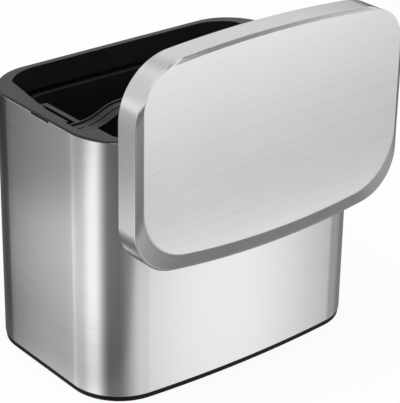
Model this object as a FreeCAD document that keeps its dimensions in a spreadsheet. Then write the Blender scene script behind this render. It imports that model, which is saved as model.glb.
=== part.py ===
import FreeCAD, Part
import math
import os
import Sketcher

doc = FreeCAD.newDocument("HangingCompostBin")
V = FreeCAD.Vector

# Driving dimensions, in millimetres.
# The origin is under the middle of everything, the lid hung on the front included,
# on the surface under the feet. The bin's front looks along -Y and its width runs along X.
# Sketches are drawn about the bin's own middle, and each finished piece is then moved into place.
SIZES = [
    # steel sleeve
    ("body_width", 246.0),
    ("body_depth", 163.8),
    ("shell_height", 198.8),
    ("corner_front", 41.6),
    ("corner_back", 40.6),
    ("front_radius", 905.0),
    ("steel_wall", 0.8),
    ("fit_gap", 0.3),
    ("moulding_wall", 2.0),
    # base moulding and feet
    ("foot_reveal", 0.7),
    ("foot_radius", 8.0),
    ("foot_margin", 30.0),
    ("ring_height", 4.0),
    ("ring_inset", 0.7),
    ("ring_wall", 3.0),
    ("floor_thickness", 2.5),
    ("base_spigot", 14.0),
    ("rib_width", 2.0),
    ("rib_spacing", 52.0),
    # rim collar
    ("collar_lip", 1.5),
    ("lip_chamfer", 0.9),
    ("ledge_thickness", 2.5),
    ("collar_spigot", 14.0),
    ("skirt_drop", 18.0),
    ("tab_width", 21.0),
    ("tab_drop", 1.6),
    ("opening_side_gap", 3.1),
    ("opening_back_margin", 6.0),
    ("opening_front_margin", 10.0),
    ("opening_front_corner", 15.0),
    ("bay_side_gap", 5.1),
    ("mouth_corner", 36.0),
    ("point_reach", 28.6),
    ("bay_knee", 6.0),
    ("bay_front_gap", 5.0),
    ("notch_side_gap", 4.0),
    ("notch_back_gap", 1.0),
    ("notch_front_gap", 3.5),
    # inner bucket
    ("bucket_side_gap", 21.5),
    ("bucket_back_gap", 4.4),
    ("bucket_front_gap", 6.4),
    ("bucket_corner", 30.0),
    ("bucket_sink", 20.2),
    ("bucket_draft", 6.0),
    ("bucket_floor", 2.5),
    ("bucket_foot_bevel", 7.0),
    ("rim_width", 2.0),
    ("rim_thickness", 3.0),
    ("seat_gap", 0.1),
    ("ear_rise", 17.0),
    ("ear_reach", 4.9),
    ("ear_thickness", 2.5),
    ("ear_radius", 6.5),
    # carrying bail
    ("pivot_back", 20.0),
    ("pin_radius", 2.0),
    ("pin_clearance", 0.05),
    ("pin_head_radius", 4.0),
    ("pin_head", 1.5),
    ("pin_end", 0.5),
    ("arm_thickness", 4.0),
    ("arm_boss", 6.0),
    ("arm_height", 8.0),
    ("strap_back", 21.0),
    ("strap_width", 17.0),
    ("strap_thickness", 3.0),
    ("strap_rise", 8.0),
    ("strap_overhang", 6.1),
    ("ramp_start", 1.4),
    ("ramp_run", 34.0),
    ("rest_thickness", 2.2),
    ("rest_reach", 7.0),
    ("bead_width", 1.4),
    ("bead_rise", 1.0),
    ("groove_width", 1.2),
    ("groove_depth", 0.8),
    # lid, drawn face up and hung on the front
    ("lid_side_inset", 3.0),
    ("lid_back_inset", 0.5),
    ("lid_corner_back", 43.5),
    ("lid_corner_front", 36.0),
    ("lid_back_radius", 951.0),
    ("lid_front_radius", 632.0),
    ("lid_skirt", 18.6),
    ("face_rise", 3.1),
    ("face_inset_back", 2.1),
    ("face_inset_side", 5.5),
    ("face_inset_front", 13.0),
    ("face_corner_back", 27.3),
    ("face_corner_front", 43.3),
    ("face_back_radius", 920.0),
    ("face_front_radius", 585.0),
    ("dock_gap", 5.4),
    ("dock_drop", 12.4),
    # lid liner, seal and hooks
    ("flange_sink", 1.5),
    ("flange_inset", 13.0),
    ("panel_sink", 13.0),
    ("seal_inset", 1.6),
    ("seal_width", 2.8),
    ("seal_proud", 0.2),
    ("stud_side_margin", 36.0),
    ("stud_end_margin", 37.4),
    ("stud_radius", 3.5),
    ("screw_radius", 1.5),
    ("screw_head_radius", 3.2),
    ("screw_head", 1.8),
    ("screw_bite", 4.0),
    ("screw_end", 1.2),
    ("hook_gap", 3.0),
    ("hook_width", 26.0),
    ("hook_thickness", 3.0),
    ("hook_tip", 2.5),
    ("hook_play", 0.6),
    ("hook_drop", 10.0),
    ("hook_foot", 16.0),
    ("bumper_radius", 6.0),
    ("bumper_x", 60.0),
    ("bumper_margin", 27.4),
    # carbon filter
    ("filter_radius", 34.0),
    ("filter_thickness", 4.0),
    ("cover_wall", 2.0),
    ("cover_flange", 4.0),
    ("cover_thickness", 1.4),
    ("lug_reach", 2.4),
    ("lug_thickness", 1.2),
    ("lug_half_width", 5.0),
    ("slot_width", 3.0),
    ("slot_pitch", 6.5),
    ("slot_margin", 3.0),
    ("grip_height", 3.0),
    ("grip_width", 5.0),
    # hanging plate on the back
    ("plate_thickness", 1.5),
    ("plate_side_margin", 10.4),
    ("plate_height", 46.0),
    ("plate_sink", 19.5),
    ("plate_wing", 24.0),
    ("crown_standoff", 5.0),
    ("web_run", 4.0),
    ("keyhole_spacing", 60.0),
    ("keyhole_drop", 32.0),
    ("keyhole_radius", 5.0),
    ("keyway_radius", 2.4),
    ("keyway_run", 13.0),
    ("rivet_radius", 2.0),
    ("rivet_head_radius", 4.0),
    ("rivet_head", 1.4),
    ("rivet_end", 0.8),
    ("rivet_margin", 10.0),
    ("rivet_pitch", 26.0),
]

sheet = doc.addObject("Spreadsheet::Sheet", "Sizes")
for number, (alias, millimetres) in enumerate(SIZES, start=1):
    sheet.set("A%d" % number, alias.replace("_", " "))
    sheet.set("B%d" % number, str(millimetres))
    sheet.setAlias("B%d" % number, alias)
doc.recompute()


class Size:
    """A length worked out from sheet cells: its value and the expression that binds it."""

    def __init__(self, value, text):
        self.value = value
        self.text = text

    def __add__(self, other):
        other = as_size(other)
        return Size(self.value + other.value, "(%s + %s)" % (self.text, other.text))

    def __sub__(self, other):
        other = as_size(other)
        return Size(self.value - other.value, "(%s - %s)" % (self.text, other.text))

    def __mul__(self, factor):
        return Size(self.value * factor, "(%s * %s)" % (self.text, factor))

    def __truediv__(self, factor):
        return Size(self.value / factor, "(%s / %s)" % (self.text, factor))

    def __neg__(self):
        return Size(-self.value, "(0 mm - %s)" % self.text)


def as_size(item):
    """Plain numbers are millimetres."""
    if isinstance(item, Size):
        return item
    return Size(float(item), "%s mm" % item)


def cell(alias):
    """The sheet's cell of that name, as a length."""
    return Size(float(sheet.get(alias)), "Sizes.%s * 1 mm" % alias)


NOTHING = as_size(0)


def bind(item, name, size):
    """Tie one property of an object to the sheet."""
    size = as_size(size)
    item.setExpression(name, size.text)


def new_body(label):
    body = doc.addObject("PartDesign::Body", label)
    body.Label = label
    return body


def new_sketch(body, role, offset=0.0):
    """A sketch on one of the body's own origin planes, lifted by offset along its normal."""
    plane = [item for item in body.Origin.OriginFeatures if item.Role == role][0]
    sketch = body.newObject("Sketcher::SketchObject", "Sketch")
    sketch.AttachmentSupport = (plane, [""])
    sketch.MapMode = "FlatFace"
    offset = as_size(offset)
    sketch.AttachmentOffset = FreeCAD.Placement(V(0, 0, offset.value), FreeCAD.Rotation())
    bind(sketch, "AttachmentOffset.Base.z", offset)
    return sketch


def hold(sketch, kind, *places_and_size):
    """Add a dimension to the sketch and bind it to the sheet."""
    size = as_size(places_and_size[-1])
    places = places_and_size[:-1]
    number = sketch.addConstraint(Sketcher.Constraint(kind, *places, size.value))
    sketch.setExpression("Constraints[%d]" % number, size.text)


def tie(sketch, kind, *places):
    sketch.addConstraint(Sketcher.Constraint(kind, *places))


# Which point of an edge a sketch constraint means, and the sketch's own origin and axis.
START, END, CENTRE = range(1, 4)
ORIGIN = (-1, 1)
UPRIGHT_AXIS = ORIGIN[0] - 1


def arc(sketch, centre, radius, first, last):
    circle = Part.Circle(V(centre[0], centre[1], 0), V(0, 0, 1), radius)
    return sketch.addGeometry(Part.ArcOfCircle(circle, first, last))


def line(sketch, begin, finish):
    return sketch.addGeometry(Part.LineSegment(V(begin[0], begin[1], 0), V(finish[0], finish[1], 0)))


def corner_centre(half_width, apex, bow_radius, corner, side):
    """Centre of the right-hand corner arc that touches a bowed edge and a straight side."""
    x = half_width - corner
    reach = math.sqrt((bow_radius - corner) ** 2 - x ** 2)
    return x, apex - side * (bow_radius - reach)


def bowed_outline(sketch, half_width, front, back, front_radius, back_radius, corner_front, corner_back):
    """Closed outline with straight sides, a bowed front and a straight or bowed back."""
    w = half_width.value
    fx, fy = corner_centre(w, front.value, front_radius.value, corner_front.value, -1)
    lean = math.atan2(fy - (front.value + front_radius.value), fx)
    front_arc = arc(sketch, (0, front.value + front_radius.value), front_radius.value, math.pi - lean, lean)
    right_front = arc(sketch, (fx, fy), corner_front.value, lean, 0)
    rb = corner_back.value
    if back_radius is None:
        bx, by, rise = w - rb, back.value - rb, math.pi / 2
    else:
        bx, by = corner_centre(w, back.value, back_radius.value, rb, 1)
        rise = math.atan2(by - (back.value - back_radius.value), bx)
    right = line(sketch, (w, fy), (w, by))
    right_back = arc(sketch, (bx, by), rb, 0, rise)
    if back_radius is None:
        rear = line(sketch, (bx, back.value), (-bx, back.value))
    else:
        rear = arc(sketch, (0, back.value - back_radius.value), back_radius.value, rise, math.pi - rise)
    left_back = arc(sketch, (-bx, by), rb, math.pi - rise, math.pi)
    left = line(sketch, (-w, by), (-w, fy))
    left_front = arc(sketch, (-fx, fy), corner_front.value, math.pi, math.pi - lean)
    ring = [front_arc, right_front, right, right_back, rear, left_back, left, left_front]
    for here, following in zip(ring, ring[1:] + ring[:1]):
        tie(sketch, "Tangent", here, END, following, START)
    tie(sketch, "Vertical", right)
    tie(sketch, "Vertical", left)
    tie(sketch, "PointOnObject", front_arc, CENTRE, UPRIGHT_AXIS)
    hold(sketch, "Radius", front_arc, front_radius)
    hold(sketch, "Radius", right_front, corner_front)
    hold(sketch, "Radius", left_front, corner_front)
    hold(sketch, "Radius", right_back, corner_back)
    hold(sketch, "Radius", left_back, corner_back)
    hold(sketch, "DistanceX", *ORIGIN, right, START, half_width)
    hold(sketch, "DistanceX", *ORIGIN, left, START, -half_width)
    hold(sketch, "DistanceY", *ORIGIN, front_arc, CENTRE, front + front_radius)
    if back_radius is None:
        tie(sketch, "Horizontal", rear)
        hold(sketch, "DistanceY", *ORIGIN, rear, START, back)
    else:
        tie(sketch, "PointOnObject", rear, CENTRE, UPRIGHT_AXIS)
        hold(sketch, "Radius", rear, back_radius)
        hold(sketch, "DistanceY", *ORIGIN, rear, CENTRE, back - back_radius)


def rounded_box(sketch, half_width, front, back, corner_front, corner_back):
    """Closed outline with four straight edges, two front and two back corner arcs."""
    w, y0, y1 = half_width.value, front.value, back.value
    rf, rb = corner_front.value, corner_back.value
    quarter = math.pi / 2
    near = line(sketch, (-w + rf, y0), (w - rf, y0))
    right_front = arc(sketch, (w - rf, y0 + rf), rf, -quarter, 0)
    right = line(sketch, (w, y0 + rf), (w, y1 - rb))
    right_back = arc(sketch, (w - rb, y1 - rb), rb, 0, quarter)
    rear = line(sketch, (w - rb, y1), (-w + rb, y1))
    left_back = arc(sketch, (-w + rb, y1 - rb), rb, quarter, math.pi)
    left = line(sketch, (-w, y1 - rb), (-w, y0 + rf))
    left_front = arc(sketch, (-w + rf, y0 + rf), rf, math.pi, 3 * quarter)
    ring = [near, right_front, right, right_back, rear, left_back, left, left_front]
    for here, following in zip(ring, ring[1:] + ring[:1]):
        tie(sketch, "Tangent", here, END, following, START)
    for straight, kind in ((near, "Horizontal"), (rear, "Horizontal"), (right, "Vertical"), (left, "Vertical")):
        tie(sketch, kind, straight)
    for round_edge, radius in ((right_front, corner_front), (left_front, corner_front),
                               (right_back, corner_back), (left_back, corner_back)):
        hold(sketch, "Radius", round_edge, radius)
    hold(sketch, "DistanceX", *ORIGIN, right, START, half_width)
    hold(sketch, "DistanceX", *ORIGIN, left, START, -half_width)
    hold(sketch, "DistanceY", *ORIGIN, near, START, front)
    hold(sketch, "DistanceY", *ORIGIN, rear, START, back)


def polygon(sketch, corners):
    """Closed outline of straight edges, each corner given as two lengths."""
    spots = [(as_size(x), as_size(y)) for x, y in corners]
    edges = []
    for (x0, y0), (x1, y1) in zip(spots, spots[1:] + spots[:1]):
        edges.append(line(sketch, (x0.value, y0.value), (x1.value, y1.value)))
    for here, following in zip(edges, edges[1:] + edges[:1]):
        tie(sketch, "Coincident", here, END, following, START)
    for edge, (x, y) in zip(edges, spots):
        hold(sketch, "DistanceX", *ORIGIN, edge, START, x)
        hold(sketch, "DistanceY", *ORIGIN, edge, START, y)


def rectangle(sketch, x0, y0, x1, y1):
    polygon(sketch, [(x0, y0), (x1, y0), (x1, y1), (x0, y1)])


def circle(sketch, x, y, radius):
    x, y, radius = as_size(x), as_size(y), as_size(radius)
    edge = sketch.addGeometry(Part.Circle(V(x.value, y.value, 0), V(0, 0, 1), radius.value))
    hold(sketch, "Radius", edge, radius)
    hold(sketch, "DistanceX", *ORIGIN, edge, CENTRE, x)
    hold(sketch, "DistanceY", *ORIGIN, edge, CENTRE, y)


# How many flats stand in for a circle, to keep the model light.
FASTENER_SIDES = 8
HEAD_SIDES = 12
PAD_SIDES = 24
COVER_SIDES = 48


def flatted_circle(sketch, x, y, radius, sides):
    """Outline of a round thing in so many flats, its first corner towards +X."""
    x, y, radius = as_size(x), as_size(y), as_size(radius)
    corners = []
    for number in range(sides):
        swing = 2 * math.pi * number / sides
        corners.append((x + radius * round(math.cos(swing), 6), y + radius * round(math.sin(swing), 6)))
    polygon(sketch, corners)


def fastener_hole(sketch, x, y, radius):
    flatted_circle(sketch, x, y, radius, FASTENER_SIDES)


def pad(body, sketch, length, backwards=False):
    """Add material along the sketch's normal, or against it when backwards."""
    feature = body.newObject("PartDesign::Pad", "Pad")
    feature.Profile = sketch
    bind(feature, "Length", length)
    feature.Reversed = backwards
    doc.recompute()
    return feature


def pocket(body, sketch, depth, upwards=True):
    """Remove material along the sketch's normal, or against it when not upwards."""
    before = body.Shape.Volume
    feature = body.newObject("PartDesign::Pocket", "Pocket")
    feature.Profile = sketch
    bind(feature, "Length", depth)
    feature.Reversed = upwards
    doc.recompute()
    if not body.Shape.Volume < before - 1e-3:
        raise RuntimeError("a cut in %s removed nothing" % body.Label)
    return feature


def loft(body, kind, sketches):
    feature = body.newObject("PartDesign::" + kind, kind)
    feature.Profile = sketches[0]
    feature.Sections = sketches[1:]
    feature.Ruled = True
    doc.recompute()
    return feature


def chamfer(body, size, level):
    """Bevel the edges of the body so far that lie wholly at one height."""
    base = body.Tip
    names = []
    for number, edge in enumerate(base.Shape.Edges, start=1):
        box = edge.BoundBox
        if abs(box.ZMin - level.value) < 0.01 and abs(box.ZMax - level.value) < 0.01:
            names.append("Edge%d" % number)
    feature = body.newObject("PartDesign::Chamfer", "Chamfer")
    feature.Base = (base, names)
    bind(feature, "Size", size)
    doc.recompute()
    return feature


def place(item, x=0.0, y=0.0, z=0.0, turn=None):
    """Put a finished piece in the object's frame, with its position bound to the sheet."""
    spot = [as_size(value) for value in (x, y, z)]
    rotation = turn or FreeCAD.Rotation()
    item.Placement = FreeCAD.Placement(V(*[size.value for size in spot]), rotation)
    for letter, size in zip("xyz", spot):
        bind(item, "Placement.Base." + letter, size)


# Heights and lengths that several pieces share.
half_width = cell("body_width") / 2
half_depth = cell("body_depth") / 2
ring_bottom = cell("foot_reveal")
shell_bottom = ring_bottom + cell("ring_height")
shell_top = shell_bottom + cell("shell_height")
floor_top = shell_bottom + cell("floor_thickness")
rim_top = shell_top + cell("collar_lip")
spigot_inset = cell("steel_wall") + cell("fit_gap")
opening_back = half_depth - cell("opening_back_margin")
opening_front = half_depth - cell("opening_front_margin")
bucket_half = half_width - cell("bucket_side_gap")
bucket_back = opening_back - cell("bucket_back_gap")
bucket_front = opening_front - cell("bucket_front_gap")
bucket_bottom = floor_top + cell("seat_gap")
bucket_top = rim_top - cell("bucket_sink")
opening_half = bucket_half + cell("opening_side_gap")
ear_inner = bucket_half + cell("ear_reach")
ear_outer = ear_inner + cell("ear_thickness")
ear_top = bucket_top + cell("ear_rise")
pivot_height = ear_top - cell("ear_radius")
arm_outer = ear_inner - cell("fit_gap")
arm_inner = arm_outer - cell("arm_thickness")
arm_top = pivot_height + cell("arm_boss")
strap_low = arm_top - cell("strap_thickness")
strap_front = cell("strap_back") + cell("strap_width")
strap_end = ear_inner + cell("strap_overhang")
ramp_outer = ear_inner - cell("ramp_start")
ramp_inner = ramp_outer - cell("ramp_run")
bay_half = ear_outer + cell("bay_side_gap")
bay_front = strap_front + cell("bay_front_gap")
notch_half = strap_end + cell("notch_side_gap")
notch_back = cell("strap_back") + cell("notch_back_gap")
notch_front = strap_front + cell("notch_front_gap")
half_lid = half_width - cell("lid_side_inset")
lid_back = half_depth - cell("lid_back_inset")
lid_top = cell("lid_skirt") + cell("face_rise")
panel_top = cell("panel_sink") + cell("moulding_wall")
dock_front = half_depth + cell("dock_gap")
dock_height = rim_top - cell("dock_drop")
plate_top = shell_top - cell("plate_sink")
plate_half = half_width - cell("corner_back") - cell("plate_side_margin")
rivet_x = plate_half - cell("rivet_margin")
hanger_back = half_depth + cell("crown_standoff") + cell("plate_thickness")
cover_radius = cell("filter_radius") + cell("cover_wall")
slot_field = cell("filter_radius") - cell("slot_margin")
hook_middle = cover_radius + cell("cover_flange") + cell("hook_gap") + cell("hook_width") / 2
middle_shift = (dock_front + lid_top - hanger_back) / 2
LID_TURN = FreeCAD.Rotation(V(1, 0, 0), 90)


def stand(item):
    """Move a piece of the bin itself into the object's frame."""
    place(item, 0.0, middle_shift, 0.0)
    return item


def body_outline(sketch, inset):
    """The footprint of the bin, drawn in by inset."""
    bowed_outline(sketch, half_width - inset, inset - half_depth, half_depth - inset,
                  cell("front_radius") - inset, None,
                  cell("corner_front") - inset, cell("corner_back") - inset)


def outer_shell():
    """Brushed steel sleeve, open at both ends, with a shallow notch at the top of each side."""
    body = new_body("outer_shell")
    sketch = new_sketch(body, "XY_Plane", shell_bottom)
    body_outline(sketch, NOTHING)
    pad(body, sketch, cell("shell_height"))
    sketch = new_sketch(body, "XY_Plane", shell_bottom)
    body_outline(sketch, cell("steel_wall"))
    pocket(body, sketch, cell("shell_height"))
    sketch = new_sketch(body, "YZ_Plane", -half_width)
    rectangle(sketch, -cell("tab_width") / 2, shell_top - cell("tab_drop"),
              cell("tab_width") / 2, shell_top + cell("tab_drop"))
    pocket(body, sketch, cell("body_width"))
    sketch = new_sketch(body, "XZ_Plane", -half_depth)
    for side in (-1, 1):
        for level in rivet_levels():
            fastener_hole(sketch, rivet_x * side, level, cell("rivet_radius") + cell("pin_clearance"))
    pocket(body, sketch, cell("steel_wall") * 2)
    return body


def rivet_levels():
    middle = plate_top - cell("plate_height") / 2
    return (middle - cell("rivet_pitch") / 2, middle + cell("rivet_pitch") / 2)


def foot_spots():
    """Centres of the four feet."""
    x = half_width - cell("foot_margin")
    y = half_depth - cell("foot_margin")
    return [(x * i, y * j) for i in (-1, 1) for j in (-1, 1)]


def base_pan():
    """Black base moulding: the visible ring, the floor, and a spigot inside the sleeve."""
    body = new_body("base_pan")
    sketch = new_sketch(body, "XY_Plane", ring_bottom)
    body_outline(sketch, cell("ring_inset"))
    pad(body, sketch, cell("ring_height"))
    sketch = new_sketch(body, "XY_Plane", shell_bottom)
    body_outline(sketch, spigot_inset)
    pad(body, sketch, cell("base_spigot"))
    sketch = new_sketch(body, "XY_Plane", floor_top)
    body_outline(sketch, spigot_inset + cell("moulding_wall"))
    pocket(body, sketch, cell("base_spigot"))
    sketch = new_sketch(body, "XY_Plane", ring_bottom)
    body_outline(sketch, cell("ring_inset") + cell("ring_wall"))
    pocket(body, sketch, cell("ring_height"))
    rib_reach = half_depth - cell("ring_inset") - cell("ring_wall") / 2
    rib_span = half_width - cell("ring_inset") - cell("ring_wall") / 2
    half_rib = cell("rib_width") / 2
    for step in (-1, 0, 1):
        middle = cell("rib_spacing") * step
        sketch = new_sketch(body, "XY_Plane", ring_bottom + half_rib)
        rectangle(sketch, middle - half_rib, -rib_reach, middle + half_rib, rib_reach)
        pad(body, sketch, cell("ring_height") - half_rib)
    sketch = new_sketch(body, "XY_Plane", ring_bottom + half_rib)
    rectangle(sketch, -rib_span, -half_rib, rib_span, half_rib)
    pad(body, sketch, cell("ring_height") - half_rib)
    return body


def cylinder(name, radius, height):
    item = doc.addObject("Part::Cylinder", name)
    bind(item, "Radius", radius)
    bind(item, "Height", height)
    return item


def disc(label, sides, radius, height):
    """A round thing that repeats or stays hidden, along +Z, with few sides so that it stays light."""
    item = doc.addObject("Part::Prism", label)
    item.Polygon = sides
    bind(item, "Circumradius", radius)
    bind(item, "Height", height)
    return item


def joined(label, shank, head):
    item = doc.addObject("Part::Fuse", label)
    item.Label = label
    item.Base = shank
    item.Tool = head
    return item


def group(label, items):
    """Separate solids that share one node."""
    item = doc.addObject("Part::Compound", label)
    item.Label = label
    item.Links = items
    return item


def foot_pads():
    """Four rubber feet on the underside of the floor, standing a little below the ring."""
    pads = []
    for x, y in foot_spots():
        item = disc("foot", PAD_SIDES, cell("foot_radius"), shell_bottom)
        place(item, x, y, 0.0)
        pads.append(item)
    return group("foot_pads", pads)


def rear_mouth(sketch, grow):
    """The mouth behind the knees: a straight back edge, two wide corners, and sides that slant out from a point."""
    radius = cell("mouth_corner") + grow
    centre_x = opening_half - cell("point_reach")
    centre_y = opening_back - cell("mouth_corner")
    point_x = opening_half + grow
    wide, knee, rear = bay_half + grow, cell("bay_knee"), opening_back + grow
    rise = math.acos((point_x - centre_x).value / radius.value)
    point_y = centre_y.value + radius.value * math.sin(rise)
    near = line(sketch, (-wide.value, knee.value), (wide.value, knee.value))
    right_side = line(sketch, (wide.value, knee.value), (point_x.value, point_y))
    right_corner = arc(sketch, (centre_x.value, centre_y.value), radius.value, rise, math.pi / 2)
    back_edge = line(sketch, (centre_x.value, rear.value), (-centre_x.value, rear.value))
    left_corner = arc(sketch, (-centre_x.value, centre_y.value), radius.value, math.pi / 2, math.pi - rise)
    left_side = line(sketch, (-point_x.value, point_y), (-wide.value, knee.value))
    ring = [near, right_side, right_corner, back_edge, left_corner, left_side]
    for here, following in zip(ring, ring[1:] + ring[:1]):
        kind = "Tangent" if back_edge in (here, following) else "Coincident"
        tie(sketch, kind, here, END, following, START)
    tie(sketch, "Horizontal", near)
    tie(sketch, "Horizontal", back_edge)
    hold(sketch, "DistanceX", *ORIGIN, near, START, -wide)
    hold(sketch, "DistanceY", *ORIGIN, near, START, knee)
    hold(sketch, "DistanceX", *ORIGIN, near, END, wide)
    hold(sketch, "DistanceY", *ORIGIN, back_edge, START, rear)
    for corner, point, side in ((right_corner, START, 1), (left_corner, END, -1)):
        hold(sketch, "Radius", corner, radius)
        hold(sketch, "DistanceX", *ORIGIN, corner, CENTRE, centre_x * side)
        hold(sketch, "DistanceX", *ORIGIN, corner, point, point_x * side)


def collar_openings(sketches, grow):
    """The outlines that make up the mouth of the collar, drawn out by grow."""
    front_mouth, rear, bays, notches = sketches
    rounded_box(front_mouth, opening_half + grow, -opening_front - grow, opening_back - cell("mouth_corner"),
                cell("opening_front_corner") + grow, cell("opening_front_corner"))
    rear_mouth(rear, grow)
    wide = bay_half + grow
    rectangle(bays, -wide, -bay_front - grow, wide, cell("bay_knee"))
    reach = notch_half + grow
    rectangle(notches, -reach, -notch_front - grow, reach, grow - notch_back)


def top_collar():
    """Black rim moulding: outer lip, flat ledge, spigot inside the sleeve and a skirt round the mouth."""
    body = new_body("top_collar")
    sketch = new_sketch(body, "XY_Plane", shell_top)
    body_outline(sketch, NOTHING)
    pad(body, sketch, cell("collar_lip"))
    chamfer(body, cell("lip_chamfer"), rim_top)
    sketch = new_sketch(body, "XY_Plane", shell_top)
    body_outline(sketch, spigot_inset)
    pad(body, sketch, cell("collar_spigot"), backwards=True)
    ledge_bottom = rim_top - cell("ledge_thickness")
    sketch = new_sketch(body, "XY_Plane", ledge_bottom)
    body_outline(sketch, spigot_inset + cell("moulding_wall"))
    pocket(body, sketch, cell("collar_spigot"), upwards=False)
    tab_inner = half_width - spigot_inset - cell("fit_gap")
    rests = []
    for side in (-1, 1):
        sketch = new_sketch(body, "XY_Plane", shell_top)
        rectangle(sketch, tab_inner * side, cell("fit_gap") - cell("tab_width") / 2,
                  half_width * side, cell("tab_width") / 2 - cell("fit_gap"))
        pad(body, sketch, cell("tab_drop"), backwards=True)
    for side in (-1, 1):
        rest = new_sketch(body, "XY_Plane", strap_low - cell("fit_gap"))
        outer = notch_half + cell("moulding_wall")
        rectangle(rest, (outer - cell("rest_reach")) * side, -notch_front, outer * side, -notch_back)
        rests.append(rest)
    skirt_bottom = rim_top - cell("skirt_drop")
    for grow, feature in ((cell("moulding_wall"), pad), (NOTHING, pocket)):
        sketches = [new_sketch(body, "XY_Plane", skirt_bottom) for count in range(4)]
        collar_openings(sketches, grow)
        for sketch in sketches:
            feature(body, sketch, cell("skirt_drop"))
    for rest in rests:
        pad(body, rest, cell("rest_thickness"), backwards=True)
    return body


def bucket_section(sketch, grow, level_inset):
    """Outline of the bucket wall, drawn out by grow and in by the draft at that level."""
    change = grow - level_inset
    rounded_box(sketch, bucket_half + change, -bucket_front - change,
                bucket_back + change, cell("bucket_corner") + grow, cell("bucket_corner") + grow)


def bucket_loft(body, kind, bottom, bevel, inset, top):
    """The bucket's tapering outline from bottom to top, with a bevelled foot edge."""
    draft = cell("bucket_draft")
    sections = []
    for level, grow, level_inset in ((bottom, -inset - bevel, draft), (bottom + bevel, -inset, draft),
                                     (top, -inset, NOTHING)):
        sketch = new_sketch(body, "XY_Plane", level)
        bucket_section(sketch, grow, level_inset)
        sections.append(sketch)
    return loft(body, kind, sections)


def inner_bucket():
    """Removable bucket with drafted walls, a rim and a raised ear on each side for the bail."""
    body = new_body("inner_bucket")
    wall = cell("moulding_wall")
    bucket_loft(body, "AdditiveLoft", bucket_bottom, cell("bucket_foot_bevel"), NOTHING, bucket_top)
    sketch = new_sketch(body, "XY_Plane", bucket_top - cell("rim_thickness"))
    bucket_section(sketch, cell("rim_width"), NOTHING)
    pad(body, sketch, cell("rim_thickness"))
    shoulder = new_sketch(body, "XY_Plane", bucket_top - cell("rim_thickness"))
    rectangle(shoulder, -ear_outer, cell("pivot_back") - cell("ear_radius"),
              ear_outer, cell("pivot_back") + cell("ear_radius"))
    pad(body, shoulder, cell("rim_thickness"))
    bucket_loft(body, "SubtractiveLoft", bucket_bottom + cell("bucket_floor"),
                cell("bucket_foot_bevel") - wall, wall, bucket_top + cell("rim_thickness"))
    for side in (-1, 1):
        ear(body, side)
    return body


def ear(body, side):
    """Round-topped ear on the bucket's rim, drilled for the bail's pin."""
    middle = cell("pivot_back")
    plane = ear_inner * side
    upright = new_sketch(body, "YZ_Plane", plane)
    rectangle(upright, middle - cell("ear_radius"), bucket_top - cell("rim_thickness") / 2,
              middle + cell("ear_radius"), pivot_height)
    pad(body, upright, cell("ear_thickness"), backwards=side < 0)
    crown = new_sketch(body, "YZ_Plane", plane)
    circle(crown, middle, pivot_height, cell("ear_radius"))
    pad(body, crown, cell("ear_thickness"), backwards=side < 0)
    hole = new_sketch(body, "YZ_Plane", plane)
    circle(hole, middle, pivot_height, cell("pin_radius") + cell("pin_clearance"))
    pocket(body, hole, cell("ear_thickness"), upwards=side > 0)


def arched_band(sketch, low, thickness):
    """Side view of a band: level ends, an S-shaped rise on each side and a raised level middle."""
    high = low + cell("strap_rise")
    run = cell("ramp_run").value
    rise = cell("strap_rise").value
    radius = (run ** 2 + rise ** 2) / (4 * rise)
    sweep = 2 * math.atan2(rise, run)
    quarter = math.pi / 2
    edges = []
    for lift in (NOTHING, thickness):
        base, crown = (low + lift).value, (high + lift).value
        left_end = line(sketch, (-strap_end.value, base), (-ramp_outer.value, base))
        left_foot = arc(sketch, (-ramp_outer.value, base + radius), radius, 3 * quarter, 3 * quarter + sweep)
        left_top = arc(sketch, (-ramp_inner.value, crown - radius), radius, quarter, quarter + sweep)
        middle = line(sketch, (-ramp_inner.value, crown), (ramp_inner.value, crown))
        right_top = arc(sketch, (ramp_inner.value, crown - radius), radius, quarter - sweep, quarter)
        right_foot = arc(sketch, (ramp_outer.value, base + radius), radius, 3 * quarter - sweep, 3 * quarter)
        right_end = line(sketch, (ramp_outer.value, base), (strap_end.value, base))
        tie(sketch, "Tangent", left_end, END, left_foot, START)
        tie(sketch, "Tangent", left_foot, END, left_top, END)
        tie(sketch, "Tangent", left_top, START, middle, START)
        tie(sketch, "Tangent", middle, END, right_top, END)
        tie(sketch, "Tangent", right_top, START, right_foot, START)
        tie(sketch, "Tangent", right_foot, END, right_end, START)
        tie(sketch, "Equal", left_foot, left_top)
        tie(sketch, "Equal", right_foot, right_top)
        tie(sketch, "Horizontal", left_end)
        tie(sketch, "Horizontal", middle)
        tie(sketch, "Horizontal", right_end)
        hold(sketch, "DistanceX", *ORIGIN, left_end, START, -strap_end)
        hold(sketch, "DistanceY", *ORIGIN, left_end, START, low + lift)
        hold(sketch, "DistanceX", *ORIGIN, left_end, END, -ramp_outer)
        hold(sketch, "DistanceX", *ORIGIN, middle, START, -ramp_inner)
        hold(sketch, "DistanceY", *ORIGIN, middle, START, high + lift)
        hold(sketch, "DistanceX", *ORIGIN, middle, END, ramp_inner)
        hold(sketch, "DistanceX", *ORIGIN, right_end, START, ramp_outer)
        hold(sketch, "DistanceX", *ORIGIN, right_end, END, strap_end)
        hold(sketch, "DistanceY", *ORIGIN, right_end, END, low + lift)
        edges.append((left_end, right_end))
    (left_low, right_low), (left_high, right_high) = edges
    for low_end, high_end, spot in ((left_low, left_high, START), (right_low, right_high, END)):
        x = strap_end.value if spot == END else -strap_end.value
        side = line(sketch, (x, low.value), (x, (low + thickness).value))
        tie(sketch, "Coincident", side, START, low_end, spot)
        tie(sketch, "Coincident", side, END, high_end, spot)


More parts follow.
